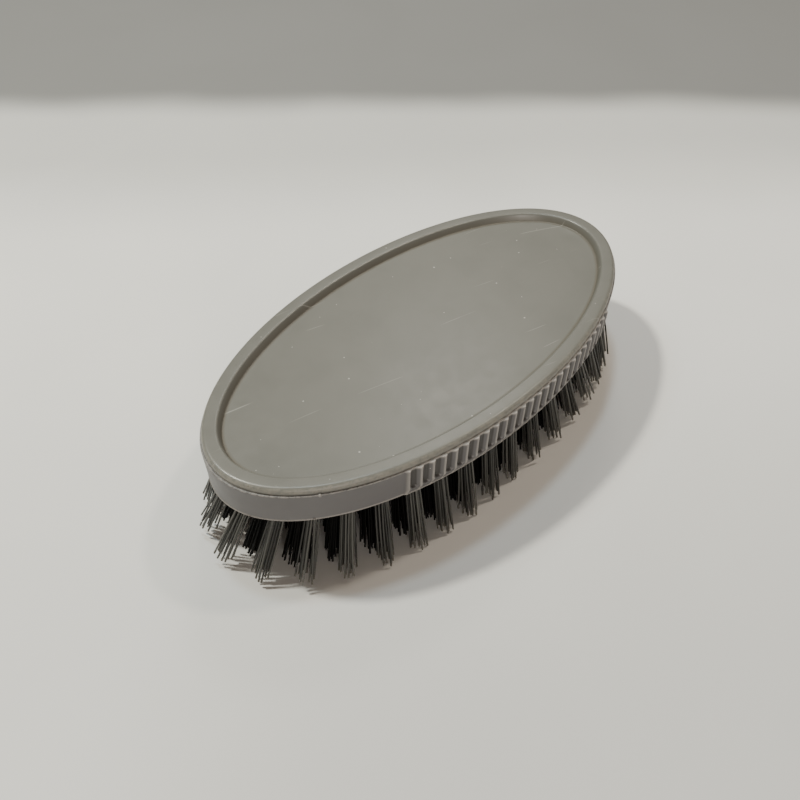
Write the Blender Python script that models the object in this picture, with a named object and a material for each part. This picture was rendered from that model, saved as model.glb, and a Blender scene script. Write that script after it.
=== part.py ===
# Oval scrub brush: a moulded top cover on a bristle block that has a grip along each long side,
# and rings of filament tufts rooted in the block's underside.
# Metres, Z up, X along the brush. The origin is on the floor, under the middle.

import math
import random

import bmesh
import bpy
from mathutils import Vector

MM = 0.001

# The whole brush
LENGTH = 150.0 * MM
WIDTH = 78.1 * MM
BODY_HEIGHT = 11.9 * MM
BRISTLE_LENGTH = 23.1 * MM
CLEARANCE = 0.3 * MM
CUT_OVERRUN = 1.0 * MM
ELLIPSE_STEPS = 96
SHARP_DEGREES = 40

# Top cover: a flat rim round a sunk panel, and a spigot below that drops into the block
LIP_HEIGHT = 2.0 * MM
LIP_RADIUS = 1.3 * MM
LIP_STEPS = 4
RIM_WIDTH = 4.4 * MM
RIM_INNER_BREAK = 0.3 * MM
PANEL_DEPTH = 2.3 * MM
RECESS_WALL_RUN = 0.9 * MM
PANEL_THICKNESS = 1.8 * MM
SPIGOT_INSET = 3.0 * MM
SPIGOT_WALL = 1.8 * MM
SPIGOT_HEIGHT = 1.4 * MM

# Bristle block: its wall stands proud of the lip. It is upright at the ends and leans in at the sides.
LEDGE_STEP_AT_ENDS = 0.6 * MM
LEDGE_STEP_AT_SIDES = 0.3 * MM
WALL_DRAFT_AT_ENDS = 0.1 * MM
WALL_DRAFT_AT_SIDES = 1.2 * MM
SEAT_ROOF = 1.5 * MM
END_STEPS = 26

# Side grips: upright ribs on each long side, left by wide grooves that run out near the foot
GRIP_PROUD = 0.8 * MM
GRIP_PROUD_AT_RUNOUT = 1.2 * MM
GRIP_PROUD_AT_FOOT = 0.4 * MM
GRIP_END_PAD = 3.4 * MM
GRIP_RAMP = 0.8 * MM
GROOVE_COUNT = 23
GROOVE_PITCH = 3.376 * MM
GROOVE_WIDTH = 3.0 * MM
GROOVE_FLANK = 0.98 * MM
GROOVE_DEPTH = 0.85 * MM
GROOVE_RUNOUT_HEIGHT = 2.9 * MM
GROOVE_RUNOUT_SHARE = 0.88
GROOVE_FOOT_SHARE = 0.1

# Tufts: bundles of filaments, rooted in a slice of backing that fills its seat in the block
SEAT_RADIUS = 2.5 * MM
SEAT_SIDES = 8
SEAT_OVERHANG = 2.8 * MM
STRAND_RADIUS = 0.34 * MM
STRAND_SIDES = 3
STRAND_EDGE = 0.12 * MM
STRAND_SPREAD = 1.2 * MM
STRAND_SCATTER = 0.25 * MM
TIP_CUT = 0.5 * MM
TIP_UNEVENNESS = 1.2 * MM
OUTER_STRANDS = 5
INNER_STRANDS = 3
SEED = 11

# Rings of tufts, from the edge inwards, with each ring's distance from the rim's edge
RING_INSETS = (4.2 * MM, 10.8 * MM, 19.6 * MM, 28.4 * MM)
RING_TUFTS = (40, 36, 28, 20)
RING_SLICES = (40, 6, 4, 4)
RING_PHASE_SHARES = (0.5, 0.65, 0.5, 0.5)
RING_LEAN_SHARES = (1.0, 0.85, 0.4, 0.0)
RING_SWEEP_SHARES = (1.0, 0.8, 0.35, 0.0)
RING_NAMES = ("outer_tuft", "second_ring", "third_ring", "fourth_ring")
RING_FINE_STEPS = 4000
CENTRE_TUFTS = 7
CENTRE_PITCH = 9.8 * MM

# How far tufts lean out at their tips, and how far they are swept along the ring, in two waves a turn
LEAN_AT_SIDES = 1.3 * MM
LEAN_AT_ENDS = 7.3 * MM
LEAN_END_POWER = 1.2
SWEEP = 5.7 * MM
SWEEP_START_SHARE = 0.925
SWEEP_SECOND_WAVE_SHARE = 0.45

# Levels, counted up from the floor
BLOCK_FOOT_Z = BRISTLE_LENGTH
RIM_Z = BRISTLE_LENGTH + BODY_HEIGHT
LEDGE_Z = RIM_Z - LIP_HEIGHT
BLOCK_TOP_Z = LEDGE_Z - CLEARANCE
PANEL_Z = RIM_Z - PANEL_DEPTH
PANEL_UNDERSIDE_Z = PANEL_Z - PANEL_THICKNESS
SPIGOT_Z = PANEL_UNDERSIDE_Z - SPIGOT_HEIGHT
POCKET_Z = SPIGOT_Z - CLEARANCE
SEAT_TOP_Z = POCKET_Z - SEAT_ROOF
SLICE_TOP_Z = SEAT_TOP_Z - CLEARANCE

# Widths worked out from the sizes above
HALF_LENGTH = LENGTH / 2
HALF_WIDTH = WIDTH / 2
GROOVES_HALF_LENGTH = (GROOVE_COUNT - 1) / 2 * GROOVE_PITCH + GROOVE_WIDTH / 2
PAD_HALF_LENGTH = GROOVES_HALF_LENGTH + GRIP_END_PAD
GRIP_HALF_LENGTH = PAD_HALF_LENGTH + GRIP_RAMP
SLICE_RADIUS = SEAT_RADIUS - CLEARANCE
SLICE_OVERHANG = SEAT_OVERHANG - CLEARANCE
ROOT_CIRCLE = SLICE_RADIUS * math.cos(math.pi / SEAT_SIDES) - STRAND_EDGE - STRAND_RADIUS
TIP_CIRCLE = ROOT_CIRCLE + STRAND_SPREAD

# Colours, linear
COVER_GREY = (0.30, 0.29, 0.255)
BLOCK_GREY = (0.24, 0.23, 0.21)
TUFT_GREY = (0.10, 0.098, 0.085)
TUFT_BLACK = (0.012, 0.012, 0.012)


def clear_scene():
    for item in list(bpy.data.objects):
        bpy.data.objects.remove(item, do_unlink=True)


def make_material(name, colour, roughness):
    material = bpy.data.materials.new(name)
    material.use_nodes = True
    shader = material.node_tree.nodes["Principled BSDF"]
    shader.inputs["Base Color"].default_value = (*colour, 1.0)
    shader.inputs["Roughness"].default_value = roughness
    shader.inputs["Metallic"].default_value = 0.0
    material.diffuse_color = (*colour, 1.0)
    return material


def make_object(name, mesh, material=None):
    item = bpy.data.objects.new(name, mesh)
    bpy.context.collection.objects.link(item)
    if material is not None and not mesh.materials:
        mesh.materials.append(material)
    return item


def finish_mesh(work, name):
    bmesh.ops.recalc_face_normals(work, faces=work.faces)
    mesh = bpy.data.meshes.new(name)
    work.to_mesh(mesh)
    work.free()
    return mesh


def shade(mesh):
    mesh.shade_smooth()
    mesh.set_sharp_from_angle(angle=math.radians(SHARP_DEGREES))


def join_loops(work, lower, upper):
    count = len(lower)
    for i in range(count):
        j = (i + 1) % count
        work.faces.new((lower[i], lower[j], upper[j], upper[i]))


def loft(work, rings):
    # Rings of equal count, each joined to the next. The first and the last are capped.
    loops = [[work.verts.new(point) for point in ring] for ring in rings]
    for lower, upper in zip(loops, loops[1:]):
        join_loops(work, lower, upper)
    work.faces.new(loops[0])
    work.faces.new(loops[-1])


def at_height(outline, z):
    return [Vector((point.x, point.y, z)) for point in outline]


def oval(outset):
    points = []
    for i in range(ELLIPSE_STEPS):
        angle = math.tau * i / ELLIPSE_STEPS
        x = (HALF_LENGTH + outset) * math.cos(angle)
        y = (HALF_WIDTH + outset) * math.sin(angle)
        points.append(Vector((x, y, 0.0)))
    return points


def cover_profile():
    # Inset and height: from under the panel, round the spigot and over the lip, to the panel's face.
    spigot_inside = SPIGOT_INSET + SPIGOT_WALL
    profile = [
        (spigot_inside, PANEL_UNDERSIDE_Z),
        (spigot_inside, SPIGOT_Z),
        (SPIGOT_INSET, SPIGOT_Z),
        (SPIGOT_INSET, LEDGE_Z),
        (0.0, LEDGE_Z),
    ]
    for i in range(LIP_STEPS + 1):
        angle = math.pi / 2 * i / LIP_STEPS
        inset = LIP_RADIUS * (1 - math.cos(angle))
        height = RIM_Z - LIP_RADIUS * (1 - math.sin(angle))
        profile.append((inset, height))
    profile += [
        (RIM_WIDTH, RIM_Z),
        (RIM_WIDTH + RIM_INNER_BREAK, RIM_Z - RIM_INNER_BREAK),
        (RIM_WIDTH + RECESS_WALL_RUN, PANEL_Z),
    ]
    return profile


def build_cover(material):
    work = bmesh.new()
    loft(work, [at_height(oval(-inset), z) for inset, z in cover_profile()])
    mesh = finish_mesh(work, "top_cover")
    shade(mesh)
    return make_object("top_cover", mesh, material)


def grip_stations():
    # From +X to -X along a long side: the place, how much of the pad, how much of a groove.
    stations = [(GRIP_HALF_LENGTH, 0.0, 0.0), (PAD_HALF_LENGTH, 1.0, 0.0)]
    mouth = GROOVE_WIDTH / 2
    bed = mouth - GROOVE_FLANK
    for i in reversed(range(GROOVE_COUNT)):
        middle = (i - (GROOVE_COUNT - 1) / 2) * GROOVE_PITCH
        stations.append((middle + mouth, 1.0, 0.0))
        stations.append((middle + bed, 1.0, 1.0))
        stations.append((middle - bed, 1.0, 1.0))
        stations.append((middle - mouth, 1.0, 0.0))
    stations += [(-PAD_HALF_LENGTH, 1.0, 0.0), (-GRIP_HALF_LENGTH, 0.0, 0.0)]
    return stations


def wall_outline(z, proud, groove_share):
    # The plan of the block's wall at one height. Its second half is the first, turned half way round.
    fall_share = (BLOCK_TOP_Z - z) / (BLOCK_TOP_Z - BLOCK_FOOT_Z)
    a = HALF_LENGTH + LEDGE_STEP_AT_ENDS - WALL_DRAFT_AT_ENDS * fall_share
    b = HALF_WIDTH + LEDGE_STEP_AT_SIDES - WALL_DRAFT_AT_SIDES * fall_share
    half = []
    for x, pad, groove in grip_stations():
        y = b * math.sqrt(1 - (x / a) ** 2)
        half.append(Vector((x, y + pad * proud - groove * groove_share * GROOVE_DEPTH, z)))
    end = math.acos(GRIP_HALF_LENGTH / a)
    for i in range(1, END_STEPS):
        angle = math.pi - end + 2 * end * i / END_STEPS
        half.append(Vector((a * math.cos(angle), b * math.sin(angle), z)))
    return half + [Vector((-point.x, -point.y, z)) for point in half]


def build_block(material):
    work = bmesh.new()
    loft(work, [
        wall_outline(BLOCK_FOOT_Z, GRIP_PROUD_AT_FOOT, GROOVE_FOOT_SHARE),
        wall_outline(BLOCK_FOOT_Z + GROOVE_RUNOUT_HEIGHT, GRIP_PROUD_AT_RUNOUT, GROOVE_RUNOUT_SHARE),
        wall_outline(BLOCK_TOP_Z, GRIP_PROUD, 1.0),
    ])
    mesh = finish_mesh(work, "bristle_block")
    shade(mesh)
    return make_object("bristle_block", mesh, material)


def cut(item, name, outlines, low, high):
    # One cutter object holds every outline as an upright prism.
    work = bmesh.new()
    for outline in outlines:
        loft(work, [at_height(outline, low), at_height(outline, high)])
    cutter = make_object(name, finish_mesh(work, name))
    cutter.hide_render = True
    cutter.display_type = "WIRE"
    modifier = item.modifiers.new(name, "BOOLEAN")
    modifier.operation = "DIFFERENCE"
    modifier.solver = "EXACT"
    modifier.object = cutter


class Ring:
    """An ellipse of tufts. A place on it is counted in tufts and is even along its length."""

    def __init__(self, index):
        self.a = HALF_LENGTH - RING_INSETS[index]
        self.b = HALF_WIDTH - RING_INSETS[index]
        self.count = RING_TUFTS[index]
        self.phase = RING_PHASE_SHARES[index]
        self.lean_share = RING_LEAN_SHARES[index]
        self.sweep_share = RING_SWEEP_SHARES[index]
        self.lengths = [0.0]
        for i in range(RING_FINE_STEPS):
            before = self.at_angle(math.tau * i / RING_FINE_STEPS)
            after = self.at_angle(math.tau * (i + 1) / RING_FINE_STEPS)
            self.lengths.append(self.lengths[-1] + (after - before).length)

    def at_angle(self, angle):
        return Vector((self.a * math.cos(angle), self.b * math.sin(angle), 0.0))

    def pitch(self):
        return self.lengths[-1] / self.count

    def turn_share(self, place):
        return ((place + self.phase) / self.count) % 1.0

    def angle(self, place):
        # Halving finds the fine step that holds the wanted length.
        wanted = self.turn_share(place) * self.lengths[-1]
        low = 0
        high = RING_FINE_STEPS
        while high - low > 1:
            middle = (low + high) // 2
            if self.lengths[middle] <= wanted:
                low = middle
            else:
                high = middle
        part = (wanted - self.lengths[low]) / (self.lengths[high] - self.lengths[low])
        return math.tau * (low + part) / RING_FINE_STEPS

    def point(self, place):
        return self.at_angle(self.angle(place))

    def outward(self, place):
        angle = self.angle(place)
        return Vector((self.b * math.cos(angle), self.a * math.sin(angle), 0.0)).normalized()

    def lean(self, place):
        # Outwards, most at the ends, and along the ring. The same after half a turn.
        outward = self.outward(place)
        along = Vector((-outward.y, outward.x, 0.0))
        end_share = abs(math.cos(self.angle(place))) ** LEAN_END_POWER
        out = LEAN_AT_SIDES + (LEAN_AT_ENDS - LEAN_AT_SIDES) * end_share
        wave = 2 * math.tau * (self.turn_share(place) - SWEEP_START_SHARE)
        swept = -SWEEP * (math.sin(wave) + SWEEP_SECOND_WAVE_SHARE * math.sin(2 * wave))
        return outward * out * self.lean_share + along * swept * self.sweep_share


def round_outline(centre, radius):
    points = []
    for i in range(SEAT_SIDES):
        angle = math.tau * (i + 0.5) / SEAT_SIDES
        points.append(centre + Vector((math.cos(angle), math.sin(angle), 0.0)) * radius)
    return points


def curved_outline(ring, first, count, half_width, overhang):
    # A bar along the ring, under the given tufts, with a point under and between them.
    start = first - overhang / ring.pitch()
    stop = first + count - 1 + overhang / ring.pitch()
    steps = 2 * count
    places = [start + (stop - start) * i / steps for i in range(steps + 1)]
    outer = [ring.point(place) + ring.outward(place) * half_width for place in places]
    inner = [ring.point(place) - ring.outward(place) * half_width for place in places]
    return outer + inner[::-1]


def straight_outline(half_width, overhang):
    x = (CENTRE_TUFTS - 1) / 2 * CENTRE_PITCH + overhang
    corners = ((-x, -half_width), (x, -half_width), (x, half_width), (-x, half_width))
    return [Vector((*corner, 0.0)) for corner in corners]


def strand_ends(root, lean, count, chance):
    # Strands start on a circle round the tuft's axis and spread evenly, so none crosses another.
    # A leaning tuft ends higher. The first strand is the longest, and is cut level at the floor.
    ends = []
    facing = math.atan2(root.y, root.x)
    rise = BRISTLE_LENGTH - math.sqrt(BRISTLE_LENGTH ** 2 - lean.length_squared)
    for i in range(count):
        angle = facing + math.tau * i / count
        spread = Vector((math.cos(angle), math.sin(angle), 0.0))
        scatter = Vector((chance.uniform(-1, 1), chance.uniform(-1, 1), 0.0)) * STRAND_SCATTER
        start = root + spread * ROOT_CIRCLE
        start.z = BLOCK_FOOT_Z
        tip = root + lean + spread * TIP_CIRCLE + scatter
        tip.z = rise - TIP_CUT
        shortness = chance.random() * (TIP_UNEVENNESS + TIP_CUT) if i else 0.0
        end_z = max(0.0, tip.z + shortness)
        end = start.lerp(tip, (start.z - end_z) / (start.z - tip.z))
        ends.append((start, end, angle))
    return ends


def loop_edges(work, loop):
    edges = []
    for i, vertex in enumerate(loop):
        after = loop[(i + 1) % len(loop)]
        edges.append(work.edges.get((vertex, after)) or work.edges.new((vertex, after)))
    return edges


def bristle_mesh(name, outline, strands):
    # The slice of backing is a prism. Its lower face is filled round the roots of the strands,
    # which share their corners with it and so are one solid with it.
    work = bmesh.new()
    lower = [work.verts.new(point) for point in at_height(outline, BLOCK_FOOT_Z)]
    upper = [work.verts.new(point) for point in at_height(outline, SLICE_TOP_Z)]
    join_loops(work, lower, upper)
    work.faces.new(upper)
    edges = loop_edges(work, lower)
    for start, end, turn in strands:
        corners = []
        for i in range(STRAND_SIDES):
            angle = turn + math.tau * i / STRAND_SIDES
            corners.append(Vector((math.cos(angle), math.sin(angle), 0.0)) * STRAND_RADIUS)
        roots = [work.verts.new(start + corner) for corner in corners]
        tips = [work.verts.new(end + corner) for corner in corners]
        join_loops(work, roots, tips)
        work.faces.new(tips)
        edges += loop_edges(work, roots)
    bmesh.ops.triangle_fill(work, use_beauty=True, edges=edges, normal=(0.0, 0.0, -1.0))
    return finish_mesh(work, name)


def build_ring(index, material, strands, chance):
    # Half of the slices are modelled. Each has an opposite that shares its mesh, turned half way round.
    ring = Ring(index)
    slices = RING_SLICES[index]
    tufts_each = ring.count // slices
    seats = []
    for i in range(slices):
        places = [i * tufts_each + k for k in range(tufts_each)]
        if tufts_each == 1:
            seats.append(round_outline(ring.point(i), SEAT_RADIUS))
            outline = round_outline(ring.point(i), SLICE_RADIUS)
        else:
            seats.append(curved_outline(ring, places[0], tufts_each, SEAT_RADIUS, SEAT_OVERHANG))
            outline = curved_outline(ring, places[0], tufts_each, SLICE_RADIUS, SLICE_OVERHANG)
        name = f"{RING_NAMES[index]}_{i + 1:02d}"
        if i < slices // 2:
            ends = []
            for place in places:
                ends += strand_ends(ring.point(place), ring.lean(place), strands, chance)
            make_object(name, bristle_mesh(name, outline, ends), material)
        else:
            opposite = bpy.data.objects[f"{RING_NAMES[index]}_{i + 1 - slices // 2:02d}"]
            turned = make_object(name, opposite.data)
            turned.rotation_euler.z = math.pi
    return seats


def build_centre_row(material, chance):
    ends = []
    for i in range(CENTRE_TUFTS):
        root = Vector(((i - (CENTRE_TUFTS - 1) / 2) * CENTRE_PITCH, 0.0, 0.0))
        ends += strand_ends(root, Vector((0.0, 0.0, 0.0)), INNER_STRANDS, chance)
    outline = straight_outline(SLICE_RADIUS, SLICE_OVERHANG)
    make_object("centre_row", bristle_mesh("centre_row", outline, ends), material)
    return [straight_outline(SEAT_RADIUS, SEAT_OVERHANG)]


def main():
    clear_scene()
    chance = random.Random(SEED)
    cover_plastic = make_material("cover_plastic", COVER_GREY, 0.45)
    block_plastic = make_material("block_plastic", BLOCK_GREY, 0.5)
    grey_filament = make_material("grey_filament", TUFT_GREY, 0.4)
    black_filament = make_material("black_filament", TUFT_BLACK, 0.4)

    build_cover(cover_plastic)
    block = build_block(block_plastic)
    pocket = oval(CLEARANCE - SPIGOT_INSET)
    cut(block, "pocket_cut", [pocket], POCKET_Z, BLOCK_TOP_Z + CUT_OVERRUN)

    low = BLOCK_FOOT_Z - CUT_OVERRUN
    for index in range(len(RING_TUFTS)):
        outer = index == 0
        material = grey_filament if outer else black_filament
        strands = OUTER_STRANDS if outer else INNER_STRANDS
        seats = build_ring(index, material, strands, chance)
        cut(block, RING_NAMES[index] + "_seats", seats, low, SEAT_TOP_Z)
    seats = build_centre_row(black_filament, chance)
    cut(block, "centre_row_seat", seats, low, SEAT_TOP_Z)


main()
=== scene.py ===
# %% [markdown]
# # Dressing an oval scrub brush
# The brush is a grey moulded cover on a moulded block, with bundles of filament rooted underneath.
# The CAD model fixes every size and place. This lesson adds the fine surfaces, the filaments and
# the finishes, in metres and in the same frame: X along the brush, Z up, the origin on the floor
# under the middle.

import math

import bmesh
import bpy
import numpy as np
from mathutils import Matrix, Vector


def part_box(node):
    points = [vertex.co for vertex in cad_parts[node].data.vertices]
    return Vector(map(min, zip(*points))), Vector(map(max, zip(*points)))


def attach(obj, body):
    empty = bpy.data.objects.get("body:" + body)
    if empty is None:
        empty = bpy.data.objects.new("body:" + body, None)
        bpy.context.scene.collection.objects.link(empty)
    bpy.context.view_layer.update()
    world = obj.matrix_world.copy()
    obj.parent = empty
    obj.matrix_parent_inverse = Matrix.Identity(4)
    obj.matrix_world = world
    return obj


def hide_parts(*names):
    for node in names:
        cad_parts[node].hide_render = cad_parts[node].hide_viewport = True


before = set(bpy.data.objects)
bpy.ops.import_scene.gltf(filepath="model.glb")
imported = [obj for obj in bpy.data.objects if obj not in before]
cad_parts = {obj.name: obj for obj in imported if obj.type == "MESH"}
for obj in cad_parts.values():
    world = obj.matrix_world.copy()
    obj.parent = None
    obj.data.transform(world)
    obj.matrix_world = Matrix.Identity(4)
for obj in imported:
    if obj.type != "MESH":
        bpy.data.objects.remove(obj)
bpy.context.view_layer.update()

MM = 0.001

cover_low, cover_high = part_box("top_cover")
block_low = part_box("bristle_block")[0]
HALF_LENGTH = cover_high.x
HALF_WIDTH = cover_high.y
RIM_Z = cover_high.z
SPIGOT_Z = cover_low.z
FOOT_Z = block_low.z
print(f"cover {2 * HALF_LENGTH / MM:.1f} by {2 * HALF_WIDTH / MM:.1f} mm, rim at {RIM_Z / MM:.1f} mm")
print(f"the block's foot is {FOOT_Z / MM:.1f} mm above the floor")


# %% [markdown]
# ## The camera
# The photograph was taken by hand, from the near left corner and well above the brush. The camera
# was solved from the rim, the sunk panel, the ledge and the grip, and is given by where it aims, how
# far off it stands, and its angles. The focal length is in pixels of the picture.

# %% Place the camera
PHOTO_PIXELS = 800
FOCAL_PIXELS = 850.0
SENSOR_MM = 36.0
NEAR_CLIP = 10 * MM
CAMERA_AIM = Vector((-27.23 * MM, -15.62 * MM, RIM_Z))
CAMERA_DISTANCE = 223.11 * MM
CAMERA_AZIMUTH = math.radians(-44.49)
CAMERA_ELEVATION = math.radians(45.2)
CAMERA_ROLL = math.radians(-1.87)


def link_object(name, data):
    made = bpy.data.objects.new(name, data)
    bpy.context.scene.collection.objects.link(made)
    return made


def camera_axes(azimuth, elevation, roll):
    flat = math.cos(elevation)
    forward = Vector((-math.sin(azimuth) * flat, math.cos(azimuth) * flat, -math.sin(elevation)))
    right = forward.cross(Vector((0.0, 0.0, 1.0))).normalized()
    up = right.cross(forward)
    turned_right = right * math.cos(roll) + up * math.sin(roll)
    turned_up = up * math.cos(roll) - right * math.sin(roll)
    return turned_right, turned_up, forward


def place_camera():
    right, up, forward = camera_axes(CAMERA_AZIMUTH, CAMERA_ELEVATION, CAMERA_ROLL)
    data = bpy.data.cameras.new("camera")
    data.sensor_width = SENSOR_MM
    data.lens = FOCAL_PIXELS / PHOTO_PIXELS * SENSOR_MM
    data.clip_start = NEAR_CLIP
    camera = link_object("camera", data)
    turn = Matrix((right, up, -forward)).transposed().to_4x4()
    camera.matrix_world = Matrix.Translation(CAMERA_AIM - forward * CAMERA_DISTANCE) @ turn
    bpy.context.scene.camera = camera
    return camera


camera = place_camera()
print("camera at", [round(value / MM, 1) for value in camera.matrix_world.translation], "mm")


# %% [markdown]
# ## Helpers for meshes
# Both mouldings are ovals, so both are lofts: a stack of closed outlines with the same number of
# points, each joined to the next. A mesh attribute keeps, for each point, how much of some effect
# it takes, such as wear, so that a material can read it later.

# %% Helpers for meshes
SHARP_EDGE = math.radians(38)


def clamp(value):
    return max(0.0, min(1.0, value))


def join_loops(work, lower, upper):
    count = len(lower)
    for i in range(count):
        j = (i + 1) % count
        work.faces.new((lower[i], lower[j], upper[j], upper[i]))


def add_loop(work, points, layer=None, value=0.0):
    loop = [work.verts.new(point) for point in points]
    if layer is not None:
        for vertex in loop:
            vertex[layer] = value
    return loop


def make_piece(name, mesh, sharp_edge):
    # Makes a mesh an object at the origin, smooth but for its sharp edges.
    mesh.name = name
    mesh.shade_smooth()
    mesh.set_sharp_from_angle(angle=sharp_edge)
    return link_object(name, mesh)


def finish_mesh(work, name):
    bmesh.ops.recalc_face_normals(work, faces=work.faces)
    mesh = bpy.data.meshes.new(name)
    work.to_mesh(mesh)
    work.free()
    return make_piece(name, mesh, SHARP_EDGE)


def oval(outset, z, steps):
    a = HALF_LENGTH + outset
    b = HALF_WIDTH + outset
    angles = [math.tau * i / steps for i in range(steps)]
    return [Vector((a * math.cos(angle), b * math.sin(angle), z)) for angle in angles]


def arc(centre, radius, start, stop, steps):
    # Points of a profile: inset from the rim's edge, and height. The angles are in degrees.
    points = []
    for i in range(steps + 1):
        angle = math.radians(start + (stop - start) * i / steps)
        points.append((centre[0] + radius * math.cos(angle), centre[1] + radius * math.sin(angle)))
    return points


print("an oval in four steps has", len(oval(0.0, RIM_Z, 4)), "points")


# %% [markdown]
# ## The profile of the top cover
# The cover is one moulding: a flat rim with a rounded lip outside, and a shallow panel sunk inside it.
# A turned shape would use the Screw modifier, but this plan is an oval, so its profile is lofted
# along ovals that shrink by the profile's inset. Fine arcs replace the CAD model's few steps at the
# lip, at the rim's inner edge and at the foot of the recess, because these carry the highlights.

# %% Work out the cover's profile
LIP_HEIGHT = 2.0 * MM
LIP_RADIUS = 1.3 * MM
LIP_STEPS = 12
LIP_SIDE_POINTS = 8
LIP_UNDER_BREAK = 0.05 * MM
LIP_SIDE_WEAR_AND_HIGHLIGHT = 1.0
LIP_TOP_WEAR_AND_HIGHLIGHT = 0.7
RIM_WIDTH = 4.4 * MM
RIM_INNER_RADIUS = 0.8 * MM
RIM_INNER_STEPS = 6
RIM_INNER_WEAR_AND_HIGHLIGHT = 0.4
PANEL_DEPTH = 2.3 * MM
PANEL_THICKNESS = 1.8 * MM
RECESS_WALL_RUN = 0.9 * MM
RECESS_FILLET = 0.5 * MM
RECESS_FILLET_STEPS = 5
SPIGOT_INSET = 3.0 * MM
SPIGOT_WALL = 1.8 * MM
LEDGE_Z = RIM_Z - LIP_HEIGHT
PANEL_Z = RIM_Z - PANEL_DEPTH


def cover_profile():
    # Inset, height, and wear with painted highlight, from under the panel round to its face.
    # The lip rubs on hands and sinks; its pale rub is partly a painted highlight.
    under = [
        (SPIGOT_INSET + SPIGOT_WALL, PANEL_Z - PANEL_THICKNESS),
        (SPIGOT_INSET + SPIGOT_WALL, SPIGOT_Z),
        (SPIGOT_INSET, SPIGOT_Z),
        (SPIGOT_INSET, LEDGE_Z),
        (LIP_UNDER_BREAK, LEDGE_Z),
    ]
    lip = [(LIP_RADIUS - across, height) for across, height in
           arc((0.0, RIM_Z - LIP_RADIUS), LIP_RADIUS, 0, 90, LIP_STEPS)]
    slope = math.atan2(PANEL_DEPTH, RECESS_WALL_RUN)
    steep = math.degrees(slope)
    edge = arc((RIM_WIDTH - RIM_INNER_RADIUS * math.tan(slope / 2), RIM_Z - RIM_INNER_RADIUS),
               RIM_INNER_RADIUS, 90, 90 - steep, RIM_INNER_STEPS)
    foot = arc((RIM_WIDTH + RECESS_WALL_RUN + RECESS_FILLET * math.tan(slope / 2), PANEL_Z + RECESS_FILLET),
               RECESS_FILLET, 270 - steep, 270, RECESS_FILLET_STEPS)
    # Wear on the lip and the rim's inner edge; their pale rub is partly a painted highlight.
    stretches = [(under, 0.0), (lip[:LIP_SIDE_POINTS], LIP_SIDE_WEAR_AND_HIGHLIGHT), (lip[LIP_SIDE_POINTS:], LIP_TOP_WEAR_AND_HIGHLIGHT),
                 (edge, RIM_INNER_WEAR_AND_HIGHLIGHT), (foot, 0.0)]
    return [(inset, height, wear_and_highlight) for points, wear_and_highlight in stretches for inset, height in points]


print("the cover's profile has", len(cover_profile()), "points")


# %% [markdown]
# ## The top cover
# The loft goes round the profile, and on across the panel in rings that shrink to the middle. Dirt
# and painted shade gather low in the recess: an attribute grows with the square of the depth there,
# and fades out before the panel's first ring, which leaves a thin line of dirt and painted shade.

# %% Make the top cover
OVAL_STEPS = 360
PANEL_RINGS = 10
DIRT_AND_SHADE_LINE = 0.7 * MM


def make_cover():
    work = bmesh.new()
    wear_and_highlight = work.verts.layers.float.new("wear_and_highlight")
    recess = work.verts.layers.float.new("recess")
    profile = cover_profile()
    loops = []
    for inset, height, amount in profile:
        loop = add_loop(work, oval(-inset, height, OVAL_STEPS), wear_and_highlight, amount)
        # Low in the recess the colour darkens with depth, partly dirt and partly painted shade.
        if inset > RIM_WIDTH - RIM_INNER_RADIUS:
            for vertex in loop:
                vertex[recess] = clamp((RIM_Z - height) / PANEL_DEPTH) ** 2
        loops.append(loop)
    # The first panel ring stands this far in, so the darkening fades across a thin line of dirt and painted
    # shade.
    outline = oval(-(profile[-1][0] + DIRT_AND_SHADE_LINE), 0.0, OVAL_STEPS)
    for ring in range(PANEL_RINGS):
        points = [point * (1 - ring / PANEL_RINGS) for point in outline]
        loops.append(add_loop(work, [Vector((point.x, point.y, PANEL_Z)) for point in points]))
    for lower, upper in zip(loops, loops[1:]):
        join_loops(work, lower, upper)
    work.faces.new(loops[0])
    work.faces.new(loops[-1])
    return finish_mesh(work, "cover_moulding")


cover = make_cover()
print("cover:", len(cover.data.polygons), "faces")


# %% [markdown]
# ## Where the tufts stand
# The filaments stand in rings that run parallel to the oval, evenly spaced along each ring. An
# ellipse has no formula for even steps along its length, so each ring is walked in fine steps, and
# the places are looked up. A tuft also leans. It leans out from its ring, most at the two ends, and
# use has swept it along the ring, first one way and then the other, twice in a turn. The +X end is
# less worn, and its tufts stand straighter than the solid model's, which is the same at both ends.

# %% Place the tufts
RING_INSETS = (4.2 * MM, 10.8 * MM, 19.6 * MM, 28.4 * MM)
RING_TUFTS = (40, 36, 28, 20)
RING_PHASE_SHARES = (0.5, 0.65, 0.5, 0.5)
RING_LEAN_SHARES = (1.0, 0.85, 0.4, 0.0)
RING_SWEEP_SHARES = (1.0, 0.8, 0.35, 0.0)
RING_FINE_STEPS = 4000
CENTRE_TUFTS = 7
CENTRE_PITCH = 9.8 * MM
LEAN_AT_SIDES = 1.3 * MM
LEAN_AT_ENDS = 7.3 * MM
LEAN_END_POWER = 1.2
SWEEP = 5.7 * MM
SWEEP_START_SHARE = 0.925
SWEEP_SECOND_WAVE_SHARE = 0.45
FRESH_END_START = 0.55
FRESH_END_RUN = 0.35
FRESH_END_SHARE = 0.55


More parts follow.
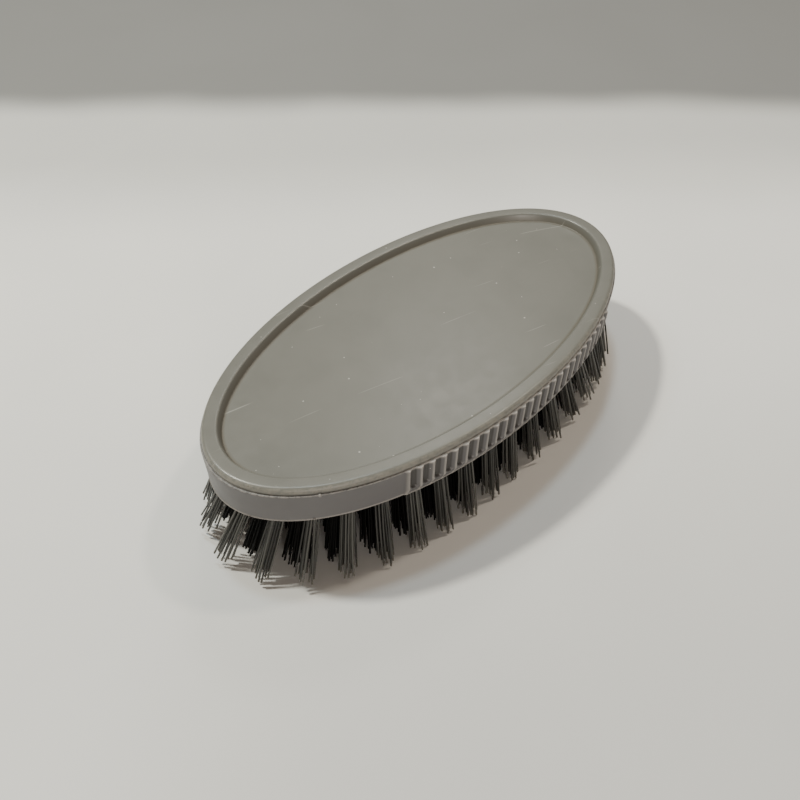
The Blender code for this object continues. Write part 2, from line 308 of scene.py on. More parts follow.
def ring_places(index):
    # Each place is the root's centre, with the way that the tip lies from it in plan.
    a = HALF_LENGTH - RING_INSETS[index]
    b = HALF_WIDTH - RING_INSETS[index]
    angles = np.linspace(0.0, math.tau, RING_FINE_STEPS + 1)
    steps = np.hypot(np.diff(a * np.cos(angles)), np.diff(b * np.sin(angles)))
    walked = np.concatenate([[0.0], np.cumsum(steps)])
    count = RING_TUFTS[index]
    turns = (np.arange(count) + RING_PHASE_SHARES[index]) / count
    places = []
    for turn, angle in zip(turns, np.interp(turns * walked[-1], walked, angles)):
        outward = Vector((b * math.cos(angle), a * math.sin(angle), 0.0)).normalized()
        along = Vector((-outward.y, outward.x, 0.0))
        out = LEAN_AT_SIDES + (LEAN_AT_ENDS - LEAN_AT_SIDES) * abs(math.cos(angle)) ** LEAN_END_POWER
        out *= 1.0 - FRESH_END_SHARE * clamp((math.cos(angle) - FRESH_END_START) / FRESH_END_RUN)
        wave = 2 * math.tau * (turn - SWEEP_START_SHARE)
        swept = -SWEEP * (math.sin(wave) + SWEEP_SECOND_WAVE_SHARE * math.sin(2 * wave))
        root = Vector((a * math.cos(angle), b * math.sin(angle), FOOT_Z))
        lean = outward * out * RING_LEAN_SHARES[index] + along * swept * RING_SWEEP_SHARES[index]
        places.append((root, lean))
    return places


def centre_places():
    middle = (CENTRE_TUFTS - 1) / 2
    return [(Vector(((i - middle) * CENTRE_PITCH, 0.0, FOOT_Z)), Vector()) for i in range(CENTRE_TUFTS)]


tuft_rings = [ring_places(index) for index in range(len(RING_TUFTS))]
tuft_rings.append(centre_places())
print("tufts in each ring:", [len(places) for places in tuft_rings])


# %% [markdown]
# ## The wall of the bristle block
# The block is the lower moulding. Its side wall starts at a small ledge under the lip, and ends at the
# foot in a fine bead, where the two halves of the mould met. The wall is lofted like the cover, but
# its points stand at fixed places along X, many to a rib, so that the grip can be pressed into it
# afterwards without ragged edges. Its rows lie closer together near the foot, where the ribs run out.

# %% Lay out the wall
LEDGE_STEP_AT_ENDS = 0.6 * MM
LEDGE_STEP_AT_SIDES = 0.3 * MM
LEDGE_JOINT = 0.02 * MM
LEDGE_WIDTH = 1.2 * MM
LEDGE_ROUND = 0.22 * MM
LEDGE_ROUND_STEPS = 4
WALL_DRAFT_AT_ENDS = 0.1 * MM
WALL_DRAFT_AT_SIDES = 1.2 * MM
FOOT_BEAD = 0.12 * MM
FOOT_BEAD_HEIGHT = 0.42 * MM
GROOVE_PITCH = 3.376 * MM
GROOVE_COUNT = 23
GROOVE_MOUTH = 1.5 * MM
GRIP_END_PAD = 3.4 * MM
GRIP_RAMP = 0.8 * MM
COLUMNS_PER_PITCH = 22
END_STEPS = 110
UPPER_ROWS = 10
LOWER_ROWS = 18
LOWER_HEIGHT = 4.2 * MM
BLOCK_TOP_Z = LEDGE_Z - LEDGE_JOINT
GRIP_HALF_LENGTH = (GROOVE_COUNT - 1) / 2 * GROOVE_PITCH + GROOVE_MOUTH + GRIP_END_PAD + GRIP_RAMP


def wall_stations():
    # Places along X for one long side, from +X to -X, in steps that divide a groove's pitch.
    step = GROOVE_PITCH / COLUMNS_PER_PITCH
    count = math.ceil(GRIP_HALF_LENGTH / step)
    return [step * i for i in range(count, -count - 1, -1)]


def wall_outline(inset, z):
    # The wall's plan at a height, drawn in by an inset for the ledge, the pocket and the foot's edge.
    fall = (BLOCK_TOP_Z - z) / (BLOCK_TOP_Z - FOOT_Z)
    a = HALF_LENGTH + LEDGE_STEP_AT_ENDS - WALL_DRAFT_AT_ENDS * fall - inset
    b = HALF_WIDTH + LEDGE_STEP_AT_SIDES - WALL_DRAFT_AT_SIDES * fall - inset
    stations = wall_stations()
    half = [Vector((x, b * math.sqrt(1 - (x / a) ** 2), z)) for x in stations]
    end = math.acos(stations[0] / a)
    for i in range(1, END_STEPS):
        angle = math.pi - end + 2 * end * i / END_STEPS
        half.append(Vector((a * math.cos(angle), b * math.sin(angle), z)))
    return half + [Vector((-point.x, -point.y, z)) for point in half]


def wall_profile():
    # Inset, height and share of the wall, from the ledge's inner edge down to the foot.
    profile = [(LEDGE_ROUND + LEDGE_WIDTH, BLOCK_TOP_Z, 0.0), (LEDGE_ROUND, BLOCK_TOP_Z, 1.0)]
    for i in range(1, LEDGE_ROUND_STEPS + 1):
        angle = math.pi / 2 * i / LEDGE_ROUND_STEPS
        height = BLOCK_TOP_Z - LEDGE_ROUND * (1 - math.cos(angle))
        profile.append((LEDGE_ROUND * (1 - math.sin(angle)), height, 1.0))
    top = BLOCK_TOP_Z - LEDGE_ROUND
    middle = FOOT_Z + LOWER_HEIGHT
    low = FOOT_Z + FOOT_BEAD_HEIGHT
    profile += [(0.0, top + (middle - top) * i / UPPER_ROWS, 1.0) for i in range(1, UPPER_ROWS + 1)]
    profile += [(0.0, middle + (low - middle) * i / LOWER_ROWS, 1.0) for i in range(1, LOWER_ROWS + 1)]
    profile += [(-FOOT_BEAD, low - FOOT_BEAD, 1.0), (-FOOT_BEAD, FOOT_Z + FOOT_BEAD / 2, 1.0)]
    profile.append((-FOOT_BEAD / 2, FOOT_Z, 1.0))
    return profile


print("the wall has", len(wall_profile()), "rows of", len(wall_outline(0.0, FOOT_Z)), "points")


# %% [markdown]
# ## The bristle block, before its grip
# The cover's spigot drops into a pocket in the top. The underside has a round blind hole for each
# tuft, and is one flat fill between the foot's outline and the holes' outlines. The ledge and the bead
# are painted pale, partly rub and partly a painted highlight, so they show as thin light lines. Two
# small pips on the near wall are left from where plastic was cut off after moulding.

# %% Make the block's skin
POCKET_DEPTH = 3.4 * MM
POCKET_INSET = 2.7 * MM
HOLE_RADIUS = 2.45 * MM
HOLE_SIDES = 16
HOLE_DEPTH = 3.0 * MM
LEDGE_WEAR_AND_HIGHLIGHT = 1.1
BEAD_WEAR_AND_HIGHLIGHT = 1.6
BEAD_LOOPS = 4
PIPS = (
    (Vector((-62.0, -22.55, 32.95)) * MM, 0.45 * MM),
    (Vector((-63.4, -20.75, 23.45)) * MM, 0.35 * MM),
)
PIP_WEAR = 2.0


def loop_edges(work, loop):
    return [work.edges.get((one, other)) or work.edges.new((one, other))
            for one, other in zip(loop, loop[1:] + loop[:1])]


def add_hole(work, root):
    # A blind hole, up from the underside. Its mouth is returned, for the fill that goes round it.
    rims = []
    for depth in (0.0, HOLE_DEPTH):
        ring = [root + Vector((HOLE_RADIUS * math.cos(angle), HOLE_RADIUS * math.sin(angle), depth))
                for angle in (math.tau * i / HOLE_SIDES for i in range(HOLE_SIDES))]
        rims.append(add_loop(work, ring))
    join_loops(work, rims[0], rims[1])
    work.faces.new(rims[1])
    return rims[0]


def make_block_skin():
    work = bmesh.new()
    wall = work.verts.layers.float.new("wall")
    wear_and_highlight = work.verts.layers.float.new("wear_and_highlight")
    pocket = [(POCKET_INSET, BLOCK_TOP_Z - POCKET_DEPTH, 0.0), (POCKET_INSET, BLOCK_TOP_Z, 0.0)]
    loops = [add_loop(work, wall_outline(inset, z), wall, share)
             for inset, z, share in pocket + wall_profile()]
    for lower, upper in zip(loops, loops[1:]):
        join_loops(work, lower, upper)
    work.faces.new(loops[0])
    ledge_start = len(pocket) + 1
    ledge = loops[ledge_start:ledge_start + LEDGE_ROUND_STEPS + 1]
    # Pale rub and painted highlight on the ledge and the bead.
    for band, amount in ((ledge, LEDGE_WEAR_AND_HIGHLIGHT), (loops[-BEAD_LOOPS:], BEAD_WEAR_AND_HIGHLIGHT)):
        for vertex in (vertex for loop in band for vertex in loop):
            vertex[wear_and_highlight] = amount
    edges = loop_edges(work, loops[-1])
    for places in tuft_rings:
        for root, lean in places:
            edges += loop_edges(work, add_hole(work, root))
    bmesh.ops.triangle_fill(work, use_beauty=True, edges=edges, normal=(0.0, 0.0, -1.0))
    for place, radius in PIPS:
        pip = bmesh.ops.create_icosphere(work, subdivisions=3, radius=radius, matrix=Matrix.Translation(place))
        for vertex in pip["verts"]:
            vertex[wear_and_highlight] = PIP_WEAR
    return finish_mesh(work, "block_skin")


block_skin = make_block_skin()
print("block skin:", len(block_skin.data.polygons), "faces before the grip")


# %% [markdown]
# ## Helpers for node trees
# Geometry Nodes and materials are both node trees. These helpers add a node with its settings and
# its inputs in one call, so that a formula made of nodes can be read like a formula.

# %% Helpers for formulas
def feed(tree, socket, value):
    # Links a socket to another node's output, or sets the socket's own value.
    if isinstance(value, bpy.types.NodeSocket):
        tree.links.new(value, socket)
    else:
        socket.default_value = value


def add_node(tree, kind, inputs=None, **settings):
    node = tree.nodes.new(kind)
    for name, value in settings.items():
        setattr(node, name, value)
    for key, value in (inputs or {}).items():
        feed(tree, node.inputs[key], value)
    return node


def result(tree, kind, inputs=None, **settings):
    return add_node(tree, kind, inputs, **settings).outputs[0]


def compute(tree, operation, *values):
    return result(tree, "ShaderNodeMath", dict(enumerate(values)), operation=operation)


def plus(tree, one, other):
    return compute(tree, "ADD", one, other)


def minus(tree, one, other):
    return compute(tree, "SUBTRACT", one, other)


def product(tree, first, *others):
    for other in others:
        first = compute(tree, "MULTIPLY", first, other)
    return first


def smooth_step(tree, value, low, high, from_low=0.0, to_high=1.0):
    inputs = {"Value": value, "From Min": low, "From Max": high, "To Min": from_low, "To Max": to_high}
    return result(tree, "ShaderNodeMapRange", inputs, interpolation_type="SMOOTHSTEP")


def clamped_share(tree, value, low, high):
    inputs = {"Value": value, "From Min": low, "From Max": high}
    return result(tree, "ShaderNodeMapRange", inputs, clamp=True)


def combine(tree, **parts):
    return result(tree, "ShaderNodeCombineXYZ", parts)


def vectors(tree, operation, *values):
    node = add_node(tree, "ShaderNodeVectorMath", operation=operation)
    for socket, value in zip([socket for socket in node.inputs if socket.enabled], values):
        feed(tree, socket, value)
    return node.outputs["Value" if operation == "DOT_PRODUCT" else "Vector"]


print("helpers for formulas are ready")


# %% [markdown]
# A geometry tree takes a mesh and named sizes, and puts out a new mesh. It is run once, and its result
# is kept as a plain mesh, because the exported file has no place for a live modifier.

# %% Helpers for geometry trees
def stored(tree, geometry, name, value, kind):
    inputs = {"Geometry": geometry, "Name": name, "Value": value}
    return result(tree, "GeometryNodeStoreNamedAttribute", inputs, data_type=kind, domain="POINT")


def read_back(tree, name, kind):
    return result(tree, "GeometryNodeInputNamedAttribute", {"Name": name}, data_type=kind)


def geometry_tree(name, sockets):
    # A tree with geometry in and out, and the named inputs for its sizes.
    tree = bpy.data.node_groups.new(name, "GeometryNodeTree")
    tree.interface.new_socket("Geometry", in_out="INPUT", socket_type="NodeSocketGeometry")
    for label, kind in sockets:
        tree.interface.new_socket(label, in_out="INPUT", socket_type="NodeSocket" + kind)
    tree.interface.new_socket("Geometry", in_out="OUTPUT", socket_type="NodeSocketGeometry")
    return tree, tree.nodes.new("NodeGroupInput").outputs


def finish_tree(tree, geometry, material):
    whole = result(tree, "GeometryNodeRealizeInstances", {"Geometry": geometry})
    painted = result(tree, "GeometryNodeSetMaterial", {"Geometry": whole, "Material": material})
    add_node(tree, "NodeGroupOutput", {"Geometry": painted})


def run_tree(piece, tree, values, name, sharp_edge):
    # Sets each input by its identifier, evaluates the tree once, and keeps the result as a plain mesh.
    modifier = piece.modifiers.new(tree.name, "NODES")
    modifier.node_group = tree
    for item in tree.interface.items_tree:
        if item.in_out == "INPUT" and item.name in values:
            modifier[item.identifier] = values[item.name]
    evaluated = piece.evaluated_get(bpy.context.evaluated_depsgraph_get())
    made = make_piece(name, bpy.data.meshes.new_from_object(evaluated), sharp_edge)
    piece.modifiers.remove(modifier)
    bpy.data.objects.remove(piece, do_unlink=True)
    return made


print("helpers for geometry trees are ready")


# %% [markdown]
# ## Node groups for the finishes
# The two mouldings share a fine grain, specks of dust, soft stains and hair-thin scratches, and both
# show wear with painted highlights on their edges. Each effect is a shader node group, built once,
# and each material places it with its own values. The groups read Object coordinates, so a pattern
# has a real size in metres on every piece.

# %% Helpers for the shader groups
def shader_group(name, values, outputs):
    # A group that takes a place and some numbers, and puts out masks, heights or roughness.
    tree = bpy.data.node_groups.new(name, "ShaderNodeTree")
    tree.interface.new_socket("Place", in_out="INPUT", socket_type="NodeSocketVector")
    for label, value in values.items():
        socket = tree.interface.new_socket(label, in_out="INPUT", socket_type="NodeSocketFloat")
        socket.default_value = value
    for label in outputs:
        tree.interface.new_socket(label, in_out="OUTPUT", socket_type="NodeSocketFloat")
    return tree, tree.nodes.new("NodeGroupInput").outputs


def noise(tree, place, scale, detail, roughness=0.5, distortion=0.0):
    inputs = {"Vector": place, "Scale": scale, "Detail": detail,
              "Roughness": roughness, "Distortion": distortion}
    return result(tree, "ShaderNodeTexNoise", inputs)


def blend_colours(tree, share, one, other):
    node = add_node(tree, "ShaderNodeMix", data_type="RGBA")
    for slot, value in ((0, share), (6, one), (7, other)):
        feed(tree, node.inputs[slot], value)
    return node.outputs[2]


print("helpers for the shader groups are ready")


# %% [markdown]
# The first group is the moulded skin itself: a fine orange peel on slow waves, as a height, and a
# sheen that is a little duller on some of the waves, as a roughness.

# %% Build the grain group
WAVE_SCALE = 0.06
GRAIN_SHARE = 0.5
SHEEN_SPREAD = 0.16


def moulded_grain_group():
    sizes = {"Grain size": 0.25 * MM, "Roughness": 0.45}
    tree, given = shader_group("moulded_grain", sizes, ["Height", "Roughness"])
    scale = compute(tree, "DIVIDE", 1.0, given["Grain size"])
    grain = noise(tree, given["Place"], scale, detail=2.0)
    slow = noise(tree, given["Place"], product(tree, scale, WAVE_SCALE), detail=2.0)
    height = plus(tree, product(tree, grain, GRAIN_SHARE), slow)
    patch = product(tree, minus(tree, slow, 0.5), SHEEN_SPREAD)
    rough = plus(tree, given["Roughness"], patch)
    add_node(tree, "NodeGroupOutput", {"Height": height, "Roughness": rough})
    return tree


GRAIN_GROUP = moulded_grain_group()
print("group:", GRAIN_GROUP.name)


# %% [markdown]
# The second group puts out three masks from 0 to 1. A speck is the middle of a Voronoi cell, in one
# cell out of five. A stain is a soft cloud. A scratch runs where a noise, drawn out along one way,
# passes its middle value, inside the patches of another noise.

# %% Build the dust group
SPECK_CHANCE = 0.80
SPECK_SPREAD = 0.12
STAIN_CLOUD = (0.35, 0.72)
SCRATCH_WAY = (0.966, -0.259)
SCRATCH_STRETCH = 0.09
SCRATCH_HALF_WIDTH = 0.003
SCRATCH_PATCH = (0.56, 0.66)


def dust_group():
    sizes = {"Speck size": 2.4 * MM, "Stain size": 16.0 * MM, "Scratch size": 14.0 * MM}
    tree, given = shader_group("dust_and_stains", sizes, ["Specks", "Stains", "Scratches"])
    place = given["Place"]
    speck_scale, stain_scale, scratch_scale = (compute(tree, "DIVIDE", 1.0, given[size]) for size in sizes)
    inputs = {"Vector": place, "Scale": speck_scale, "Randomness": 1.0}
    cells = add_node(tree, "ShaderNodeTexVoronoi", inputs).outputs
    chance = add_node(tree, "ShaderNodeSeparateColor", {"Color": cells["Color"]}).outputs
    few = compute(tree, "GREATER_THAN", chance[0], SPECK_CHANCE)
    dot = compute(tree, "LESS_THAN", cells["Distance"], product(tree, chance[1], SPECK_SPREAD))
    cloud = noise(tree, place, stain_scale, detail=4.0, roughness=0.55, distortion=0.3)
    x, y = SCRATCH_WAY
    along = vectors(tree, "DOT_PRODUCT", place, (x * SCRATCH_STRETCH, y * SCRATCH_STRETCH, 0.0))
    across = vectors(tree, "DOT_PRODUCT", place, (-y, x, 0.0))
    drift = noise(tree, combine(tree, X=along, Y=across), scratch_scale, detail=0.0)
    off_middle = compute(tree, "ABSOLUTE", minus(tree, drift, 0.5))
    line = compute(tree, "LESS_THAN", off_middle, SCRATCH_HALF_WIDTH)
    patch = smooth_step(tree, noise(tree, place, scratch_scale, detail=1.0), *SCRATCH_PATCH)
    add_node(tree, "NodeGroupOutput", {
        "Specks": product(tree, few, dot),
        "Stains": smooth_step(tree, cloud, *STAIN_CLOUD),
        "Scratches": product(tree, line, patch),
    })
    return tree


DUST_GROUP = dust_group()
print("group:", DUST_GROUP.name)


# %% [markdown]
# The third group breaks up the attribute of wear and painted highlight with noise, so that rubbed
# and painted pale places end raggedly, and sets small dark nicks among them.

# %% Build the wear group
RUBBED_AND_HIGHLIT_PATCH = (0.36, 0.62)
NICK_SCALE = 3.1
NICK_PATCH = (0.66, 0.72)


def edge_wear_and_highlight_group():
    tree, given = shader_group("edge_wear_and_highlight", {"Amount": 0.0, "Patch size": 1.5 * MM}, ["Rubbed and highlit", "Nicks"])
    scale = compute(tree, "DIVIDE", 1.0, given["Patch size"])
    patches = noise(tree, given["Place"], scale, detail=5.0, roughness=0.65, distortion=0.6)
    rubbed_and_highlit = smooth_step(tree, product(tree, patches, given["Amount"]), *RUBBED_AND_HIGHLIT_PATCH)
    small = noise(tree, given["Place"], product(tree, scale, NICK_SCALE), detail=3.0, roughness=0.6)
    nicks = product(tree, smooth_step(tree, small, *NICK_PATCH), given["Amount"])
    add_node(tree, "NodeGroupOutput", {"Rubbed and highlit": rubbed_and_highlit, "Nicks": nicks})
    return tree


WEAR_AND_HIGHLIGHT_GROUP = edge_wear_and_highlight_group()
print("group:", WEAR_AND_HIGHLIGHT_GROUP.name)


# %% [markdown]
# ## The plastic
# The cover is a warm grey that has aged: the recess is a little darker and browner, with dirt and
# painted shade, and the lip is rubbed pale, partly a painted highlight. The block below is the same
# plastic, cooler and cleaner, with dirt and painted shade deep in its grooves, and pale tops to its
# ribs that are rub and painted highlight. Both are satin, so most of what shows is soft reflection,
# broken by the grain. The colour is built up in layers, each laid over the last by its own mask.

# %% Make the plastic materials
GRAIN_SIZE = 0.22 * MM
GRAIN_DEPTH = 0.03 * MM
GRAIN_STRENGTH = 0.6
STAIN_SHARE = 0.5
RECESS_DIRT_AND_SHADE_SHARE = 0.6
CREST_RUB_AND_HIGHLIGHT_SHARE = 0.7
EDGE_RUB_AND_HIGHLIGHT_SHARE = 0.6
NICK_SHARE = 0.7
SPECK_SHARE = 0.7
SCRATCH_SHARE = 0.25
PALE = (0.55, 0.54, 0.50)
DULLNESS = 0.16


def new_material(name):
    material = bpy.data.materials.new(name)
    material.use_nodes = True
    tree = material.node_tree
    place = add_node(tree, "ShaderNodeTexCoord").outputs["Object"]
    return material, tree, tree.nodes["Principled BSDF"].inputs, place


def use_group(tree, group, inputs):
    return add_node(tree, "ShaderNodeGroup", inputs, node_tree=group).outputs


def add_bump(tree, shader, height, distance, strength):
    inputs = {"Height": height, "Distance": distance, "Strength": strength}
    feed(tree, shader["Normal"], result(tree, "ShaderNodeBump", inputs))


def attribute(tree, name):
    return add_node(tree, "ShaderNodeAttribute", attribute_name=name).outputs["Fac"]


def moulded_plastic(name, colour, stain, rub_and_highlight, dirt_and_shade, roughness, groove_dirt_and_shade_share):
    material, tree, shader, place = new_material(name)
    grain = use_group(tree, GRAIN_GROUP, {"Place": place, "Grain size": GRAIN_SIZE, "Roughness": roughness})
    dust = use_group(tree, DUST_GROUP, {"Place": place})
    wear_and_highlight = use_group(tree, WEAR_AND_HIGHLIGHT_GROUP, {"Place": place, "Amount": attribute(tree, "wear_and_highlight")})
    recess = attribute(tree, "recess")
    layers = [
        (dust["Stains"], STAIN_SHARE, stain),
        # Recess: dirt and painted shade.
        (recess, RECESS_DIRT_AND_SHADE_SHARE, dirt_and_shade),
        # Groove beds: dirt and painted shade.
        (attribute(tree, "groove"), groove_dirt_and_shade_share, dirt_and_shade),
        # Ribs' crests and brow: pale rub and painted highlight.
        (attribute(tree, "crest"), CREST_RUB_AND_HIGHLIGHT_SHARE, rub_and_highlight),
        # Rubbed edges, the ledge and the bead: pale rub and painted highlight.
        (wear_and_highlight["Rubbed and highlit"], EDGE_RUB_AND_HIGHLIGHT_SHARE, rub_and_highlight),
        (wear_and_highlight["Nicks"], NICK_SHARE, dirt_and_shade),
    ]
    tone = (*colour, 1)
    for mask, share, layer in layers:
        tone = blend_colours(tree, product(tree, mask, share), tone, (*layer, 1))
    off_wall = minus(tree, 1.0, attribute(tree, "wall"))
    scratched = product(tree, dust["Scratches"], SCRATCH_SHARE, off_wall)
    pale = compute(tree, "MAXIMUM", product(tree, dust["Specks"], SPECK_SHARE), scratched)
    feed(tree, shader["Base Color"], blend_colours(tree, pale, tone, (*PALE, 1)))
    dull = product(tree, compute(tree, "MAXIMUM", recess, wear_and_highlight["Rubbed and highlit"]), DULLNESS)
    feed(tree, shader["Roughness"], plus(tree, grain["Roughness"], dull))
    add_bump(tree, shader, grain["Height"], GRAIN_DEPTH, GRAIN_STRENGTH)
    return material


# The dirt colours darken the recess and the groove beds, as dirt and painted shade, and colour the nicks. The
# rub colours are pale rub and painted highlight.
cover_plastic = moulded_plastic(
    "cover_plastic", colour=(0.157, 0.156, 0.141), stain=(0.134, 0.134, 0.120), rub_and_highlight=(0.245, 0.231, 0.196),
    dirt_and_shade=(0.080, 0.064, 0.040), roughness=0.34, groove_dirt_and_shade_share=0.0)
block_plastic = moulded_plastic(
    "block_plastic", colour=(0.095, 0.091, 0.094), stain=(0.085, 0.082, 0.084), rub_and_highlight=(0.320, 0.300, 0.280),
    dirt_and_shade=(0.018, 0.014, 0.012), roughness=0.42, groove_dirt_and_shade_share=0.9)
print("plastics:", cover_plastic.name, block_plastic.name)


# %% [markdown]
# ## The grip
# Each long side has a row of upright ribs, left standing by wide grooves that end above the foot.
# Ribs stuck to the wall would show their joints, so a Geometry Nodes tree moves the wall's own
# points. It finds from a point's place along X how far it lies from the nearest groove, and from
# its height how deep the groove is there, and pushes it out or in. It also leaves two masks for
# the plastic: the beds of the grooves, darkened with dirt and painted shade, and the ribs' tops
# and brow, where hands rub, made pale with rub and a painted highlight.

# %% Press the grip into the block
RIB_SHARP_EDGE = math.radians(50)
GRIP_SIZES = {
    "Pitch": GROOVE_PITCH, "Mouth": GROOVE_MOUTH, "Bed": 0.52 * MM, "Depth": 0.85 * MM, "Foot share": 0.06,
    "Proud": 0.8 * MM, "Proud at run-out": 1.2 * MM, "Proud at foot": 0.4 * MM,
    "Run-out height": 2.9 * MM, "Run-out start": 2.3 * MM, "Run-out rise": 0.9 * MM, "Run-out hook": 0.8 * MM,
    "Pad half length": GRIP_HALF_LENGTH - GRIP_RAMP, "Ramp": GRIP_RAMP, "Foot": FOOT_Z, "Top": BLOCK_TOP_Z,
}
BED_MASK = (0.55, 0.95)
CREST_START_SHARE = 0.85
BROW_START = 0.4 * MM
BROW_END = 0.1 * MM
BROW_RUB_AND_HIGHLIGHT = 1.4


def grip_tree():
    sockets = [(label, "Float") for label in GRIP_SIZES] + [("Material", "Material")]
    tree, given = geometry_tree("pressed_grip", sockets)
    position = result(tree, "GeometryNodeInputPosition")
    x, y, z = add_node(tree, "ShaderNodeSeparateXYZ", {0: position}).outputs
    reach = compute(tree, "ABSOLUTE", x)
    pad_end = plus(tree, given["Pad half length"], given["Ramp"])
    pad = clamped_share(tree, reach, pad_end, given["Pad half length"])
    half_pitch = product(tree, given["Pitch"], 0.5)
    offset = compute(tree, "ABSOLUTE", compute(tree, "WRAP", x, half_pitch, product(tree, half_pitch, -1.0)))
    groove = product(tree, clamped_share(tree, offset, given["Mouth"], given["Bed"]),
                     compute(tree, "LESS_THAN", reach, given["Pad half length"]))
    rise = minus(tree, z, given["Foot"])
    across = compute(tree, "DIVIDE", offset, given["Mouth"])
    start = plus(tree, given["Run-out start"], product(tree, across, across, given["Run-out hook"]))
    stop = plus(tree, start, given["Run-out rise"])
    depth = smooth_step(tree, rise, start, stop, given["Foot share"])
    cut = product(tree, groove, given["Depth"], depth)
    skirt = smooth_step(tree, rise, 0.0, given["Run-out height"],
                        given["Proud at foot"], given["Proud at run-out"])
    height = minus(tree, given["Top"], given["Foot"])
    upper = clamped_share(tree, rise, given["Run-out height"], height)
    fall = product(tree, upper, minus(tree, given["Proud at run-out"], given["Proud"]))
    proud = minus(tree, skirt, fall)
    push = minus(tree, product(tree, pad, proud), cut)
    wall = read_back(tree, "wall", "FLOAT")
    move = combine(tree, Y=product(tree, push, wall, compute(tree, "SIGN", y)))
    inputs = {"Geometry": given["Geometry"], "Offset": move}
    moved = result(tree, "GeometryNodeSetPosition", inputs)
    # Bed mask, for dirt and the painted shade that each rib casts on the groove behind it.
    sunk = product(tree, depth, wall, smooth_step(tree, groove, *BED_MASK))
    # Crest and brow mask, for pale rub and a painted highlight on the ribs' crests and top facets.
    crest = clamped_share(tree, offset, product(tree, given["Mouth"], CREST_START_SHARE), given["Mouth"])
    brow = clamped_share(tree, rise, minus(tree, height, BROW_START), minus(tree, height, BROW_END))
    worn = product(tree, compute(tree, "MAXIMUM", crest, product(tree, brow, BROW_RUB_AND_HIGHLIGHT)), wall, pad)
    marked = stored(tree, moved, "groove", sunk, "FLOAT")
    marked = stored(tree, marked, "crest", worn, "FLOAT")
    finish_tree(tree, marked, given["Material"])
    return tree


block = run_tree(block_skin, grip_tree(), {**GRIP_SIZES, "Material": block_plastic},
                 "block_moulding", RIB_SHARP_EDGE)
print("block:", len(block.data.polygons), "faces,", GROOVE_COUNT, "grooves a side")


# %% [markdown]
# ## Filament
# The outer ring is grey filament and the rest is black. Drawn filament is smooth along its length
# and shines in thin lines. Strands differ a little in tone, and the cut tips are paler and dull.
# Both come from attributes of the tufts' node tree: a tone for each strand, and the place along
# it, from 0 at the root to 1 at the tip.

# %% Make the filament materials
STREAK_SIZE = 0.2 * MM
STREAK_STRETCH = (1.0, 1.0, 0.05)
STREAK_SHARE = 0.3
STREAK_DEPTH = 0.01 * MM
STREAK_STRENGTH = 0.4
TONE_SHARE = 0.8
WORN_START = 0.9
WORN_SHARE = 0.6
WORN_DULLNESS = 0.25


def filament(name, dark, light, tip, roughness, specular):
    material, tree, shader, place = new_material(name)
    stretched = vectors(tree, "MULTIPLY", place, STREAK_STRETCH)
    streaks = noise(tree, stretched, 1 / STREAK_SIZE, detail=2.0)
    tone = plus(tree, product(tree, streaks, STREAK_SHARE), attribute(tree, "tone"))
    colour = blend_colours(tree, product(tree, tone, TONE_SHARE), (*dark, 1), (*light, 1))
    worn = smooth_step(tree, attribute(tree, "along"), WORN_START, 1.0)
    colour = blend_colours(tree, product(tree, worn, WORN_SHARE), colour, (*tip, 1))
    feed(tree, shader["Base Color"], colour)
    feed(tree, shader["Roughness"], plus(tree, product(tree, worn, WORN_DULLNESS), roughness))
    shader["Specular IOR Level"].default_value = specular
    add_bump(tree, shader, streaks, STREAK_DEPTH, STREAK_STRENGTH)
    return material


grey_filament = filament("grey_filament", dark=(0.007, 0.007, 0.007), light=(0.090, 0.090, 0.083),
                         tip=(0.108, 0.099, 0.081), roughness=0.30, specular=0.35)
black_filament = filament("black_filament", dark=(0.002, 0.002, 0.002), light=(0.005, 0.005, 0.005),
                          tip=(0.012, 0.012, 0.012), roughness=0.45, specular=0.1)
print("filaments:", grey_filament.name, black_filament.name)


# %% [markdown]
# ## The strands of a tuft
# A tuft is a few dozen filaments that fan out of one round hole. Plain copies of one strand would
# make a comb, so a Geometry Nodes tree grows them. Its first half settles where each strand starts
# and ends: the roots fill the hole on a sunflower spiral, and the tips lie on a wider one, moved by
# the tuft's lean and lifted as if the strand had swung about its root. Every tip is then scattered
# a little, a few go far astray, and all end at uneven heights.

# %% Mark the strands
STRAND_SIZES = {
    "Strand radius": 0.27 * MM, "Root radius": 1.95 * MM, "Root depth": 1.5 * MM, "Root height": FOOT_Z,
    "Tip scatter": 0.3 * MM, "Unevenness": 2.2 * MM, "Bow": 0.22 * MM, "Stray": 1.4 * MM,
}
TIP_CLEARANCE_SHARE = 0.2
GOLDEN_ANGLE = math.radians(137.508)
TUFT_TURN = 6.28
STRAY_POWER = 9.0
SHORT_POWER = 1.6


def random_vector(tree, index, seed):
    inputs = {"Min": (-1.0,) * 3, "Max": (1.0,) * 3, "ID": index, "Seed": seed}
    return result(tree, "FunctionNodeRandomValue", inputs, data_type="FLOAT_VECTOR")


def random_value(tree, index, seed):
    inputs = {2: 0.0, 3: 1.0, "ID": index, "Seed": seed}
    return add_node(tree, "FunctionNodeRandomValue", inputs, data_type="FLOAT").outputs[1]


def disc_point(tree, angle, radius):
    return combine(tree, X=product(tree, compute(tree, "COSINE", angle), radius),
                   Y=product(tree, compute(tree, "SINE", angle), radius))


